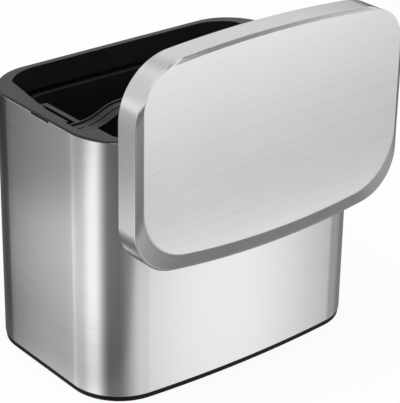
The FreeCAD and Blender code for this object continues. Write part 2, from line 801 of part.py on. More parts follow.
def bail_handle():
    """Bail folded forward: two flat arms inside the ears and a low arched strap across the mouth."""
    body = new_body("bail_handle")
    back, front = cell("strap_back"), strap_front
    core = new_sketch(body, "XZ_Plane", back)
    arched_band(core, strap_low, cell("strap_thickness"))
    pad(body, core, cell("strap_width"))
    for near in (back, front - cell("bead_width")):
        bead = new_sketch(body, "XZ_Plane", near)
        arched_band(bead, strap_low, cell("strap_thickness") + cell("bead_rise"))
        pad(body, bead, cell("bead_width"))
    groove = new_sketch(body, "XZ_Plane", (back + front) / 2 - cell("groove_width") / 2)
    arched_band(groove, strap_low + cell("strap_thickness") - cell("groove_depth"), cell("strap_thickness"))
    pocket(body, groove, cell("groove_width"), upwards=True)
    for side in (-1, 1):
        arm(body, side)
    return body


def arm(body, side):
    """One arm of the bail: a flat bar from the pivot boss to the end of the strap."""
    middle = cell("pivot_back")
    plane = arm_inner * side
    bar = new_sketch(body, "YZ_Plane", plane)
    rectangle(bar, -strap_front, arm_top - cell("arm_height"), middle, arm_top)
    pad(body, bar, cell("arm_thickness"), backwards=side < 0)
    boss = new_sketch(body, "YZ_Plane", plane)
    circle(boss, middle, pivot_height, cell("arm_boss"))
    pad(body, boss, cell("arm_thickness"), backwards=side < 0)
    hole = new_sketch(body, "YZ_Plane", plane)
    circle(hole, middle, pivot_height, cell("pin_radius"))
    pocket(body, hole, cell("arm_thickness"), upwards=side > 0)


def bail_pin(label, side):
    """Headed steel pin, pressed into the arm and turning in the ear."""
    head_inner = arm_inner - cell("pin_head")
    shank = cylinder("shank", cell("pin_radius"), ear_outer + cell("pin_end") - arm_inner)
    head = disc("head", HEAD_SIDES, cell("pin_head_radius"), cell("pin_head"))
    turn = FreeCAD.Rotation(V(0, 1, 0), 90 * side)
    place(shank, arm_inner * side, cell("pivot_back"), pivot_height, turn)
    place(head, head_inner * side, cell("pivot_back"), pivot_height, turn)
    return joined(label, shank, head)


def dock(item):
    """Stand a lid piece up and hang it in front of the bin, face outward and back edge up."""
    place(item, 0.0, middle_shift - dock_front, dock_height, LID_TURN)
    return item


def lid_outline(sketch, inset):
    """Outline of the lid's skirt, drawn in by inset. The lid's back edge is towards +Y."""
    bowed_outline(sketch, half_lid - inset, inset - lid_back, lid_back - inset,
                  cell("lid_front_radius") - inset, cell("lid_back_radius") - inset,
                  cell("lid_corner_front") - inset, cell("lid_corner_back") - inset)


def face_outline(sketch, inset):
    """Outline of the lid's raised face: drawn in little at the back, more at the sides, most at the front."""
    bowed_outline(sketch, half_lid - cell("face_inset_side") - inset,
                  cell("face_inset_front") - lid_back + inset, lid_back - cell("face_inset_back") - inset,
                  cell("face_front_radius") - inset, cell("face_back_radius") - inset,
                  cell("face_corner_front") - inset, cell("face_corner_back") - inset)


def stud_spots():
    x = half_lid - cell("stud_side_margin")
    y = lid_back - cell("stud_end_margin")
    return [(x * i, y * j) for i in (-1, 1) for j in (-1, 1)]


def lid_shell():
    """Pressed steel lid: straight skirt, uneven bevel and raised face, with welded studs inside."""
    body = new_body("lid_shell")
    wall = cell("steel_wall")
    sketch = new_sketch(body, "XY_Plane", 0)
    lid_outline(sketch, NOTHING)
    pad(body, sketch, cell("lid_skirt"))
    lower = new_sketch(body, "XY_Plane", cell("lid_skirt"))
    lid_outline(lower, NOTHING)
    upper = new_sketch(body, "XY_Plane", lid_top)
    face_outline(upper, NOTHING)
    loft(body, "AdditiveLoft", [lower, upper])
    sketch = new_sketch(body, "XY_Plane", 0)
    lid_outline(sketch, wall)
    pocket(body, sketch, cell("lid_skirt") - wall)
    lower = new_sketch(body, "XY_Plane", cell("lid_skirt") - wall)
    lid_outline(lower, wall)
    upper = new_sketch(body, "XY_Plane", lid_top - wall)
    face_outline(upper, wall)
    loft(body, "SubtractiveLoft", [lower, upper])
    for x, y in stud_spots():
        sketch = new_sketch(body, "XY_Plane", panel_top)
        fastener_hole(sketch, x, y, cell("stud_radius"))
        pad(body, sketch, lid_top - wall - panel_top)
        sketch = new_sketch(body, "XY_Plane", panel_top)
        fastener_hole(sketch, x, y, cell("screw_radius"))
        pocket(body, sketch, cell("screw_bite"))
    return dock(body)


def lid_liner():
    """Black tray inside the lid, with a flange for the seal and a round window for the filter."""
    body = new_body("lid_liner")
    wall = cell("moulding_wall")
    sketch = new_sketch(body, "XY_Plane", cell("flange_sink"))
    lid_outline(sketch, spigot_inset)
    pad(body, sketch, wall)
    sketch = new_sketch(body, "XY_Plane", cell("flange_sink"))
    lid_outline(sketch, cell("flange_inset"))
    pad(body, sketch, panel_top - cell("flange_sink"))
    sketch = new_sketch(body, "XY_Plane", cell("flange_sink"))
    lid_outline(sketch, cell("flange_inset") + wall)
    pocket(body, sketch, cell("panel_sink") - cell("flange_sink"))
    sketch = new_sketch(body, "XY_Plane", cell("panel_sink"))
    flatted_circle(sketch, 0, 0, cover_radius + cell("fit_gap"), COVER_SIDES)
    pocket(body, sketch, wall)
    for angle in LUG_ANGLES:
        sketch = new_sketch(body, "XY_Plane", cell("panel_sink"))
        lug_rectangle(sketch, cell("lug_half_width") + cell("fit_gap") * 3, cover_radius - wall,
                      cover_radius + cell("lug_reach") + cell("fit_gap") * 3, angle + UNLOCK_TURN)
        pocket(body, sketch, wall)
    sketch = new_sketch(body, "XY_Plane", cell("panel_sink"))
    for x, y in stud_spots() + hook_screw_spots():
        fastener_hole(sketch, x, y, cell("screw_radius") + cell("fit_gap"))
    pocket(body, sketch, wall)
    return dock(body)


def hook_screw_spots():
    y = cell("dock_drop") + cell("hook_thickness") + cell("hook_foot") / 2
    return [(hook_middle * side, y) for side in (-1, 1)]


def lid_hook(label, side):
    """Hook that reaches over the front ledge and down inside the mouth of the bin."""
    body = new_body(label)
    thick = cell("hook_thickness")
    ledge = cell("dock_drop") + cell("seat_gap")
    inside = -cell("dock_gap") - cell("opening_front_margin") - cell("hook_play")
    tip = inside - cell("hook_tip")
    foot = cell("panel_sink")
    sketch = new_sketch(body, "YZ_Plane", hook_middle * side - cell("hook_width") / 2)
    polygon(sketch, [(ledge, foot), (ledge, inside), (ledge - cell("hook_drop"), inside),
                     (ledge - cell("hook_drop"), tip), (ledge + thick, tip), (ledge + thick, foot - thick),
                     (ledge + thick + cell("hook_foot"), foot - thick), (ledge + thick + cell("hook_foot"), foot)])
    pad(body, sketch, cell("hook_width"))
    sketch = new_sketch(body, "XY_Plane", foot - thick)
    for x, y in hook_screw_spots():
        if x.value * side > 0:
            fastener_hole(sketch, x, y, cell("screw_radius") + cell("fit_gap"))
    pocket(body, sketch, thick)
    return dock(body)


def screws(label, spots, head_bottom, length):
    """Pan-head screws driven towards the lid's face."""
    items = []
    for x, y in spots:
        shank = disc("shank", FASTENER_SIDES, cell("screw_radius"), length)
        head = disc("head", HEAD_SIDES, cell("screw_head_radius"), cell("screw_head"))
        place(shank, x, y, head_bottom + cell("screw_head"))
        place(head, x, y, head_bottom)
        items.append(joined("screw", shank, head))
    return dock(group(label, items))


def lid_screws():
    head_bottom = cell("panel_sink") - cell("screw_head")
    return screws("lid_screws", stud_spots(), head_bottom,
                  cell("moulding_wall") + cell("screw_bite") - cell("fit_gap"))


def hook_screws():
    head_bottom = cell("panel_sink") - cell("hook_thickness") - cell("screw_head")
    return screws("hook_screws", hook_screw_spots(), head_bottom,
                  cell("hook_thickness") + cell("moulding_wall") + cell("screw_end"))


def lid_seal():
    """Soft ring that meets the ledge when the lid is closed."""
    body = new_body("lid_seal")
    height = cell("flange_sink") - cell("seal_proud")
    sketch = new_sketch(body, "XY_Plane", cell("seal_proud"))
    lid_outline(sketch, cell("seal_inset"))
    pad(body, sketch, height)
    sketch = new_sketch(body, "XY_Plane", cell("seal_proud"))
    lid_outline(sketch, cell("seal_inset") + cell("seal_width"))
    pocket(body, sketch, height)
    return dock(body)


def lid_bumpers():
    """Two rubber buttons under the liner's flange line that rest on the steel front."""
    pads = []
    bow = cell("front_radius").value
    for side in (-1, 1):
        x = cell("bumper_x")
        fall = (x.value + cell("bumper_radius").value) ** 2 / (2 * bow)
        foot = -cell("dock_gap") - fall + cell("fit_gap") * 3
        item = disc("bumper", PAD_SIDES, cell("bumper_radius"), cell("panel_sink") - foot)
        place(item, x * side, cell("bumper_margin") - lid_back, foot)
        pads.append(item)
    return dock(group("lid_bumpers", pads))


def turned(across, out, angle):
    """A point given across and out from the centre, turned by an angle in degrees."""
    swing = math.radians(angle)
    x = across * round(math.cos(swing), 6) - out * round(math.sin(swing), 6)
    y = across * round(math.sin(swing), 6) + out * round(math.cos(swing), 6)
    return x, y


LUG_ANGLES = (0, 120, 240)
UNLOCK_TURN = 40


def lug_rectangle(sketch, half, inner, outer, angle):
    corners = [(-half, inner), (half, inner), (half, outer), (-half, outer)]
    polygon(sketch, [turned(across, out, angle) for across, out in corners])


def filter_cover():
    """Vented cover of the carbon filter: a flanged cup with three lugs that turns to lock behind the liner."""
    body = new_body("filter_cover")
    wall = cell("moulding_wall")
    flange_top = cell("panel_sink") - cell("fit_gap")
    flange_bottom = flange_top - cell("cover_thickness")
    lug_bottom = panel_top + cell("fit_gap")
    sketch = new_sketch(body, "XY_Plane", flange_bottom)
    flatted_circle(sketch, 0, 0, cover_radius + cell("cover_flange"), COVER_SIDES)
    pad(body, sketch, cell("cover_thickness"))
    sketch = new_sketch(body, "XY_Plane", flange_bottom)
    circle(sketch, 0, 0, cover_radius)
    pad(body, sketch, lug_bottom + cell("lug_thickness") - flange_bottom)
    for angle in LUG_ANGLES:
        sketch = new_sketch(body, "XY_Plane", lug_bottom)
        lug_rectangle(sketch, cell("lug_half_width"), cover_radius - wall,
                      cover_radius + cell("lug_reach"), angle)
        pad(body, sketch, cell("lug_thickness"))
    sketch = new_sketch(body, "XY_Plane", flange_top)
    flatted_circle(sketch, 0, 0, cell("filter_radius") + cell("fit_gap"), COVER_SIDES)
    pocket(body, sketch, lug_bottom + cell("lug_thickness") - flange_top)
    sketch = new_sketch(body, "XY_Plane", flange_bottom - cell("grip_height"))
    rectangle(sketch, -cell("grip_width") / 2, -slot_field, cell("grip_width") / 2, slot_field)
    pad(body, sketch, cell("grip_height"))
    sketch = new_sketch(body, "XY_Plane", flange_bottom)
    for row in (-4, -3, -2, -1, 1, 2, 3, 4):
        middle = cell("slot_pitch") * row
        reach = slot_field - cell("slot_pitch") * (abs(row) / 2)
        for side in (-1, 1):
            near, far = cell("grip_width") * side, reach * side
            rectangle(sketch, near, middle - cell("slot_width") / 2, far, middle + cell("slot_width") / 2)
    pocket(body, sketch, cell("cover_thickness"))
    return dock(body)


def filter_pad():
    """Round carbon pad that lies in the cover's cup."""
    item = disc("filter_pad", COVER_SIDES, cell("filter_radius"), cell("filter_thickness"))
    item.Label = "filter_pad"
    place(item, 0.0, middle_shift - dock_front - cell("panel_sink"), dock_height, LID_TURN)
    return item


def hanger_plate():
    """Raised steel plate on the back with two keyhole slots for wall screws."""
    body = new_body("hanger_plate")
    back = half_depth
    skin = cell("plate_thickness")
    crown_inner = back + cell("crown_standoff")
    wide, flat = plate_half, plate_half - cell("plate_wing")
    web = flat + cell("web_run")
    sketch = new_sketch(body, "XY_Plane", plate_top - cell("plate_height"))
    inner = [(-wide, back), (-web, back), (-flat, crown_inner), (flat, crown_inner), (web, back), (wide, back)]
    shift = skin / 2
    outer = [(wide, back + skin), (web + shift, back + skin), (flat + shift, crown_inner + skin),
             (-flat - shift, crown_inner + skin), (-web - shift, back + skin), (-wide, back + skin)]
    polygon(sketch, inner + outer)
    pad(body, sketch, cell("plate_height"))
    head_level = plate_top - cell("keyhole_drop")
    for side in (-1, 1):
        x = cell("keyhole_spacing") / 2 * side
        heads = new_sketch(body, "XZ_Plane", -(crown_inner + skin))
        circle(heads, x, head_level, cell("keyhole_radius"))
        pocket(body, heads, skin)
        slots = new_sketch(body, "XZ_Plane", -(crown_inner + skin))
        rectangle(slots, x - cell("keyway_radius"), head_level,
                  x + cell("keyway_radius"), head_level + cell("keyway_run"))
        pocket(body, slots, skin)
        ends = new_sketch(body, "XZ_Plane", -(crown_inner + skin))
        circle(ends, x, head_level + cell("keyway_run"), cell("keyway_radius"))
        pocket(body, ends, skin)
        holes = new_sketch(body, "XZ_Plane", -(back + skin))
        for level in rivet_levels():
            fastener_hole(holes, rivet_x * side, level, cell("rivet_radius") + cell("pin_clearance"))
        pocket(body, holes, skin)
    return body


def hanger_rivets():
    """Four blind rivets that hold the hanging plate to the sleeve's back."""
    items = []
    grip = cell("plate_thickness") + cell("steel_wall") + cell("rivet_end")
    turn = FreeCAD.Rotation(V(1, 0, 0), 90)
    outside = half_depth + cell("plate_thickness")
    for side in (-1, 1):
        for level in rivet_levels():
            shank = disc("shank", FASTENER_SIDES, cell("rivet_radius"), grip)
            head = disc("head", HEAD_SIDES, cell("rivet_head_radius"), cell("rivet_head"))
            place(shank, rivet_x * side, outside, level, turn)
            place(head, rivet_x * side, outside + cell("rivet_head"), level, turn)
            items.append(joined("rivet", shank, head))
    return group("hanger_rivets", items)


PIECES = []


def main():
    for maker in (outer_shell, base_pan, foot_pads, top_collar, inner_bucket, bail_handle,
                  hanger_plate, hanger_rivets):
        PIECES.append(stand(maker()))
    PIECES.append(stand(bail_pin("bail_pin_left", -1)))
    PIECES.append(stand(bail_pin("bail_pin_right", 1)))
    for maker in (lid_shell, lid_liner, lid_screws, hook_screws, lid_seal, lid_bumpers,
                  filter_cover, filter_pad):
        PIECES.append(maker())
    PIECES.append(lid_hook("lid_hook_left", -1))
    PIECES.append(lid_hook("lid_hook_right", 1))


main()
doc.recompute()
for item in doc.Objects:
    if "Invalid" in item.State or "Error" in item.State:
        raise RuntimeError("%s did not build: %s" % (item.Label, item.State))
os.makedirs("parts", exist_ok=True)
for piece in PIECES:
    shape = piece.Shape
    if shape.isNull() or not shape.isValid():
        raise RuntimeError("%s has no valid shape" % piece.Label)
    shape.exportStep(os.path.join("parts", piece.Label + ".step"))
    print(piece.Label, len(shape.Solids), round(shape.Volume / 1000, 2), "cm3")
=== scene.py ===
import math

import bmesh
import bpy
from mathutils import Matrix, Vector, noise


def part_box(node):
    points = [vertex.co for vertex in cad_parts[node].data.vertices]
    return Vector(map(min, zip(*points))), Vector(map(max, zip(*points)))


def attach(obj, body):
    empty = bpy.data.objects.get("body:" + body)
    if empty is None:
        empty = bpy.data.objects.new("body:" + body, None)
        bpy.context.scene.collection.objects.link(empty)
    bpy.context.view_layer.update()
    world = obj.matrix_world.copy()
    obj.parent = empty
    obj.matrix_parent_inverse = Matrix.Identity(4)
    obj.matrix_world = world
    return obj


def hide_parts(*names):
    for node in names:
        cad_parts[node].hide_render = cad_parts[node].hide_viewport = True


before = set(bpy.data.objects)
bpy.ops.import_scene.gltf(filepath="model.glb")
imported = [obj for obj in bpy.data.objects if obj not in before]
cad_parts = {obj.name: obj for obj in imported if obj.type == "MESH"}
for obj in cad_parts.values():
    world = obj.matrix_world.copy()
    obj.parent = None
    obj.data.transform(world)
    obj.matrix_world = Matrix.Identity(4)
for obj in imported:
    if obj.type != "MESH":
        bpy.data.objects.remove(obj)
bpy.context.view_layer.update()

MM = 0.001

# Sizes of the product, in millimetres, as in the part's source.
BODY_DEPTH = 163.8
CORNER_FRONT = 41.6
CORNER_BACK = 40.6
FRONT_RADIUS = 905.0
STEEL_WALL = 0.8
TAB_WIDTH = 21.0
TAB_DROP = 1.6
LID_DEPTH = 162.8
LID_CORNER_BACK = 43.5
LID_CORNER_FRONT = 36.0
LID_BACK_RADIUS = 951.0
LID_FRONT_RADIUS = 632.0
LID_SKIRT = 18.6
FACE_RISE = 3.1
FACE_INSET_BACK = 2.1
FACE_INSET_SIDE = 5.5
FACE_INSET_FRONT = 13.0
FACE_CORNER_BACK = 27.3
FACE_CORNER_FRONT = 43.3
FACE_BACK_RADIUS = 920.0
FACE_FRONT_RADIUS = 585.0
LINER_PANEL = 15.0
STUD_X = 84.0
STUD_Y = 44.0
STUD_RADIUS = 3.5
PIN_RADIUS = 2.0
PIN_HEAD_RADIUS = 4.0
PIN_HEAD = 1.5

shell_low, shell_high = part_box("outer_shell")
lid_low, lid_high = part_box("lid_shell")
half_width = shell_high.x / MM
half_depth = BODY_DEPTH / 2
shell_bottom = shell_low.z / MM
shell_top = shell_high.z / MM
body_middle = (shell_low.y + shell_high.y) / 2 / MM
half_lid = lid_high.x / MM
lid_middle = (lid_low.z + lid_high.z) / 2 / MM
lid_plane = lid_high.y / MM


# Outlines.

CORNER_STEPS = 28
BOW_STEPS = 24
SIDE_STEPS = 12


def arc_points(centre, radius, first, last, steps):
    """Points along an arc, its last one left to what follows."""
    points = []
    for number in range(steps):
        angle = first + (last - first) * number / steps
        points.append((centre[0] + radius * math.cos(angle), centre[1] + radius * math.sin(angle)))
    return points


def line_points(begin, finish, steps):
    points = []
    for number in range(steps):
        share = number / steps
        points.append((begin[0] + (finish[0] - begin[0]) * share, begin[1] + (finish[1] - begin[1]) * share))
    return points


def corner_centre(width, apex, bow, corner, side):
    """Centre of the right-hand corner arc that touches a bowed edge and a straight side."""
    x = width - corner
    reach = math.sqrt((bow - corner) ** 2 - x ** 2)
    return x, apex - side * (bow - reach)


def bowed_outline(width, front, back, front_bow, back_bow, corner_front, corner_back, inset=0.0, stops=()):
    """Closed outline with straight sides, a bowed front and a straight or bowed back, drawn in by inset.
    Extra points lie on both sides where stops says."""
    w = width - inset
    front = front + inset
    back = back - inset
    rf, rb = corner_front - inset, corner_back - inset
    bow = front_bow - inset
    fx, fy = corner_centre(w, front, bow, rf, -1)
    lean = math.atan2(fy - (front + bow), fx)
    if back_bow is None:
        bx, by, rise = w - rb, back - rb, math.pi / 2
    else:
        bx, by = corner_centre(w, back, back_bow - inset, rb, 1)
        rise = math.atan2(by - (back - back_bow + inset), bx)
    side = line_points((w, fy), (w, by), SIDE_STEPS) + [(w, stop) for stop in stops]
    side.sort(key=lambda point: point[1])
    points = arc_points((0, front + bow), bow, -math.pi - lean, lean, BOW_STEPS)
    points += arc_points((fx, fy), rf, lean, 0, CORNER_STEPS)
    points += side
    points += arc_points((bx, by), rb, 0, rise, CORNER_STEPS)
    if back_bow is None:
        points += line_points((bx, back), (-bx, back), BOW_STEPS)
    else:
        points += arc_points((0, back - back_bow + inset), back_bow - inset, rise, math.pi - rise, BOW_STEPS)
    points += arc_points((-bx, by), rb, math.pi - rise, math.pi, CORNER_STEPS)
    points += [(-w, by)] + [(-x, y) for x, y in reversed(side[1:])]
    points += arc_points((-fx, fy), rf, math.pi, math.pi - lean, CORNER_STEPS)
    return points


def rounded_profile(points, steps=5):
    """An open chain of points with its bends rounded, each given as (across, along, radius)."""
    chain = [tuple(points[0][:2])]
    for before, here, after in zip(points, points[1:], points[2:]):
        a, b, c = (Vector(item[:2]) for item in (before, here, after))
        into, out = a - b, c - b
        reach = min(here[2], into.length * 0.49, out.length * 0.49)
        start, finish = b + into.normalized() * reach, b + out.normalized() * reach
        for number in range(steps + 1):
            t = number / steps
            chain.append(tuple(start * (1 - t) ** 2 + b * (2 * t * (1 - t)) + finish * t ** 2))
    chain.append(tuple(points[-1][:2]))
    return chain


# Meshes and pieces.

SHARP_BEND = math.radians(34.0)


def finished_mesh(made, name):
    """Smooth across soft bends, crisp at real edges, outward normals."""
    bmesh.ops.recalc_face_normals(made, faces=made.faces)
    for face in made.faces:
        face.smooth = True
    for edge in made.edges:
        edge.smooth = len(edge.link_faces) == 2 and edge.calc_face_angle() < SHARP_BEND
    mesh = bpy.data.meshes.new(name)
    made.to_mesh(mesh)
    made.free()
    return mesh


def mesh_of_rings(name, rings, loop=False, capped=False):
    """A mesh made by joining rings of equally many points, closed on itself or capped at both ends."""
    made = bmesh.new()
    rows = [[made.verts.new(Vector(point) * MM) for point in ring] for ring in rings]
    pairs = list(zip(rows, rows[1:]))
    if loop:
        pairs.append((rows[-1], rows[0]))
    for lower, upper in pairs:
        for number in range(len(lower)):
            following = (number + 1) % len(lower)
            made.faces.new((lower[number], lower[following], upper[following], upper[number]))
    if capped:
        made.faces.new(rows[0])
        made.faces.new(rows[-1])
    return finished_mesh(made, name)


def piece(name, mesh, body, material, replaced=()):
    """Put a mesh in the scene as a piece that rides on a body and stands for CAD nodes."""
    item = bpy.data.objects.new(name, mesh)
    bpy.context.scene.collection.objects.link(item)
    item.data.materials.clear()
    item.data.materials.append(material)
    even = item.modifiers.new("even_shading", "WEIGHTED_NORMAL")
    even.keep_sharp = True
    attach(item, body)
    if replaced:
        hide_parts(*replaced)
    return item


def softened(name, source, body, material, width, steps=3):
    """A piece with a CAD node's shape, its real edges rounded over by width."""
    made = bmesh.new()
    made.from_mesh(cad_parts[source].data)
    bmesh.ops.remove_doubles(made, verts=made.verts, dist=0.00001)
    bmesh.ops.dissolve_limit(made, angle_limit=math.radians(0.4), verts=made.verts, edges=made.edges)
    bends = [edge for edge in made.edges
             if len(edge.link_faces) == 2 and edge.calc_face_angle() > SHARP_BEND]
    bmesh.ops.bevel(made, geom=bends, offset=width * MM, offset_type="OFFSET", segments=steps,
                    profile=0.5, affect="EDGES", clamp_overlap=True)
    return piece(name, finished_mesh(made, name), body, material, [source])


LATHE_STEPS = 36


def lathe(made, origin, axis, profile, socket=()):
    """Turn a profile of (radius, height) points about an axis, closed at both ends.
    Profile points that socket lists are drawn as a hexagon."""
    axis = Vector(axis).normalized()
    across = axis.orthogonal().normalized()
    beside = axis.cross(across)
    rows = []
    for number, (radius, height) in enumerate(profile):
        row = []
        for step in range(LATHE_STEPS):
            angle = 2 * math.pi * step / LATHE_STEPS
            reach = radius
            if number in socket:
                off_flat = angle % (math.pi / 3) - math.pi / 6
                reach = radius / math.cos(off_flat)
            outward = across * math.cos(angle) + beside * math.sin(angle)
            spot = Vector(origin) + axis * height + outward * reach
            row.append(made.verts.new(spot * MM))
        rows.append(row)
    for lower, upper in zip(rows, rows[1:]):
        for step in range(LATHE_STEPS):
            following = (step + 1) % LATHE_STEPS
            made.faces.new((lower[step], lower[following], upper[following], upper[step]))
    made.faces.new(rows[0])
    made.faces.new(rows[-1])


def turned_pieces(name, spots, axis, profile, body, material, replaced, socket=()):
    """One piece that holds the same turned part at several places."""
    made = bmesh.new()
    for spot in spots:
        lathe(made, spot, axis, profile, socket)
    return piece(name, finished_mesh(made, name), body, material, replaced)


# Materials.

def new_material(name):
    material = bpy.data.materials.new(name)
    material.use_nodes = True
    tree = material.node_tree
    return material, tree, tree.nodes["Principled BSDF"]


def node(tree, kind, **values):
    made = tree.nodes.new(kind)
    for key, value in values.items():
        setattr(made, key, value)
    return made


def stretched_noise(tree, scale, detail=4.0, roughness=0.6):
    """Noise in the object's own space, stretched by a different amount along each axis."""
    place = node(tree, "ShaderNodeTexCoord")
    mapping = node(tree, "ShaderNodeMapping")
    mapping.inputs["Scale"].default_value = scale
    grain = node(tree, "ShaderNodeTexNoise")
    grain.inputs["Scale"].default_value = 1.0
    grain.inputs["Detail"].default_value = detail
    grain.inputs["Roughness"].default_value = roughness
    tree.links.new(place.outputs["Object"], mapping.inputs["Vector"])
    tree.links.new(mapping.outputs["Vector"], grain.inputs["Vector"])
    return grain.outputs["Fac"]


def spread(tree, source, low, high, from_low=0.3, from_high=0.7, smooth=False):
    """The source's range carried over to low and high."""
    made = node(tree, "ShaderNodeMapRange")
    made.interpolation_type = "SMOOTHSTEP" if smooth else "LINEAR"
    made.inputs["From Min"].default_value = from_low
    made.inputs["From Max"].default_value = from_high
    made.inputs["To Min"].default_value = low
    made.inputs["To Max"].default_value = high
    tree.links.new(source, made.inputs["Value"])
    return made.outputs["Result"]


def figure(tree, operation, first, second=None):
    """One sum or function of sockets and plain numbers."""
    made = node(tree, "ShaderNodeMath", operation=operation)
    for number, value in enumerate((first, second)):
        if isinstance(value, (int, float)):
            made.inputs[number].default_value = value
        elif value is not None:
            tree.links.new(value, made.inputs[number])
    return made.outputs["Value"]


def tinted(tree, factor, dark, light):
    mix = node(tree, "ShaderNodeMix", data_type="RGBA")
    mix.inputs["A"].default_value = (*dark, 1.0)
    mix.inputs["B"].default_value = (*light, 1.0)
    tree.links.new(factor, mix.inputs["Factor"])
    return mix.outputs["Result"]


def bumped(tree, shader, height, strength, distance):
    bump = node(tree, "ShaderNodeBump")
    bump.inputs["Strength"].default_value = strength
    bump.inputs["Distance"].default_value = distance
    tree.links.new(height, bump.inputs["Height"])
    tree.links.new(bump.outputs["Normal"], shader.inputs["Normal"])


STREAK_SHARE = 0.6


def brushed_steel(name, grain, shade, rough_low, rough_high, anisotropic):
    """Steel brushed sideways: fine streaks in colour and roughness, and soft clouds from the rolling."""
    material, tree, shader = new_material(name)
    streaks = stretched_noise(tree, grain, detail=5.0)
    clouds = stretched_noise(tree, (16.0, 16.0, 16.0), detail=3.0)
    streak_part = figure(tree, "MULTIPLY", streaks, STREAK_SHARE)
    cloud_part = figure(tree, "MULTIPLY", clouds, 1 - STREAK_SHARE)
    mixed = figure(tree, "ADD", streak_part, cloud_part)
    dark = tuple(value * 0.94 for value in shade)
    light = tuple(value * 1.05 for value in shade)
    tree.links.new(tinted(tree, spread(tree, mixed, 0.0, 1.0), dark, light), shader.inputs["Base Color"])
    tree.links.new(spread(tree, mixed, rough_low, rough_high), shader.inputs["Roughness"])
    shader.inputs["Metallic"].default_value = 1.0
    shader.inputs["Anisotropic"].default_value = anisotropic
    shader.inputs["Anisotropic Rotation"].default_value = 0.25
    tangent = node(tree, "ShaderNodeTangent", direction_type="RADIAL", axis="Z")
    tree.links.new(tangent.outputs["Tangent"], shader.inputs["Tangent"])
    bumped(tree, shader, streaks, 0.06, 0.00001)
    return material


def plain_metal(name, grain, shade, rough_low, rough_high):
    material, tree, shader = new_material(name)
    specks = stretched_noise(tree, grain, detail=5.0)
    dark = tuple(value * 0.88 for value in shade)
    light = tuple(value * 1.08 for value in shade)
    tree.links.new(tinted(tree, spread(tree, specks, 0.0, 1.0), dark, light), shader.inputs["Base Color"])
    tree.links.new(spread(tree, specks, rough_low, rough_high), shader.inputs["Roughness"])
    shader.inputs["Metallic"].default_value = 1.0
    bumped(tree, shader, specks, 0.10, 0.00002)
    return material


def moulded_plastic(name, shade, roughness, grain=900.0, strength=0.08, specular=0.26):
    """Black moulded plastic with a fine satin grain."""
    material, tree, shader = new_material(name)
    shader.inputs["Specular IOR Level"].default_value = specular
    fine = stretched_noise(tree, (grain, grain, grain), detail=2.0)
    broad = stretched_noise(tree, (22.0, 22.0, 22.0), detail=3.0)
    dark = tuple(value * 0.85 for value in shade)
    light = tuple(value * 1.2 for value in shade)
    tree.links.new(tinted(tree, spread(tree, broad, 0.0, 1.0), dark, light), shader.inputs["Base Color"])
    tree.links.new(spread(tree, broad, roughness - 0.04, roughness + 0.04), shader.inputs["Roughness"])
    bumped(tree, shader, fine, strength, 0.00005)
    return material


def felt(name, shade):
    material, tree, shader = new_material(name)
    fibres = stretched_noise(tree, (700.0, 700.0, 700.0), detail=6.0, roughness=0.75)
    dark = tuple(value * 0.6 for value in shade)
    light = tuple(value * 1.6 for value in shade)
    tree.links.new(tinted(tree, spread(tree, fibres, 0.0, 1.0), dark, light), shader.inputs["Base Color"])
    shader.inputs["Roughness"].default_value = 0.95
    shader.inputs["Sheen Weight"].default_value = 0.3
    bumped(tree, shader, fibres, 0.5, 0.0004)
    return material


SHELL_STEEL = brushed_steel("shell_steel", (6.0, 6.0, 1300.0), (0.60, 0.60, 0.598), 0.16, 0.22, 0.70)
LID_STEEL = brushed_steel("lid_steel", (6.0, 1300.0, 1300.0), (0.63, 0.63, 0.628), 0.20, 0.26, 0.30)
PLATE_STEEL = plain_metal("plate_steel", (60.0, 60.0, 300.0), (0.46, 0.46, 0.46), 0.32, 0.42)
PIN_STEEL = plain_metal("pin_steel", (200.0, 400.0, 400.0), (0.58, 0.58, 0.58), 0.18, 0.26)
SCREW_STEEL = plain_metal("screw_steel", (300.0, 300.0, 300.0), (0.52, 0.52, 0.53), 0.22, 0.32)
RIVET_ALUMINIUM = plain_metal("rivet_aluminium", (400.0, 400.0, 400.0), (0.68, 0.68, 0.69), 0.30, 0.40)
BASE_PLASTIC = moulded_plastic("base_plastic", (0.009, 0.009, 0.010), 0.45, specular=0.10)
COLLAR_PLASTIC = moulded_plastic("collar_plastic", (0.012, 0.012, 0.013), 0.34)
BUCKET_PLASTIC = moulded_plastic("bucket_plastic", (0.008, 0.008, 0.009), 0.45)
BAIL_PLASTIC = moulded_plastic("bail_plastic", (0.008, 0.008, 0.009), 0.36)
LINER_PLASTIC = moulded_plastic("liner_plastic", (0.014, 0.014, 0.015), 0.45)
COVER_PLASTIC = moulded_plastic("cover_plastic", (0.018, 0.018, 0.019), 0.45)
HOOK_PLASTIC = moulded_plastic("hook_plastic", (0.012, 0.012, 0.013), 0.40)
FOOT_RUBBER = moulded_plastic("foot_rubber", (0.016, 0.016, 0.016), 0.75, 1500.0, 0.3)
SEAL_RUBBER = moulded_plastic("seal_rubber", (0.020, 0.020, 0.020), 0.8, 1500.0, 0.3)
BUMPER_RUBBER = moulded_plastic("bumper_rubber", (0.016, 0.016, 0.016), 0.75, 1500.0, 0.3)
FILTER_FELT = felt("filter_felt", (0.02, 0.02, 0.02))


# Steel sleeve.

NOTCH_ROUND = 1.2
NOTCH_SETBACK = 0.2
NOTCH_STEPS = 6
NOTCH_STOPS = [side * (TAB_WIDTH / 2 - NOTCH_SETBACK + NOTCH_ROUND * step / NOTCH_STEPS)
               for side in (-1, 1) for step in range(NOTCH_STEPS + 1)]
TURN_IN = 12


def body_outline(inset):
    return bowed_outline(half_width, -half_depth, half_depth, FRONT_RADIUS, None,
                         CORNER_FRONT, CORNER_BACK, inset, NOTCH_STOPS)


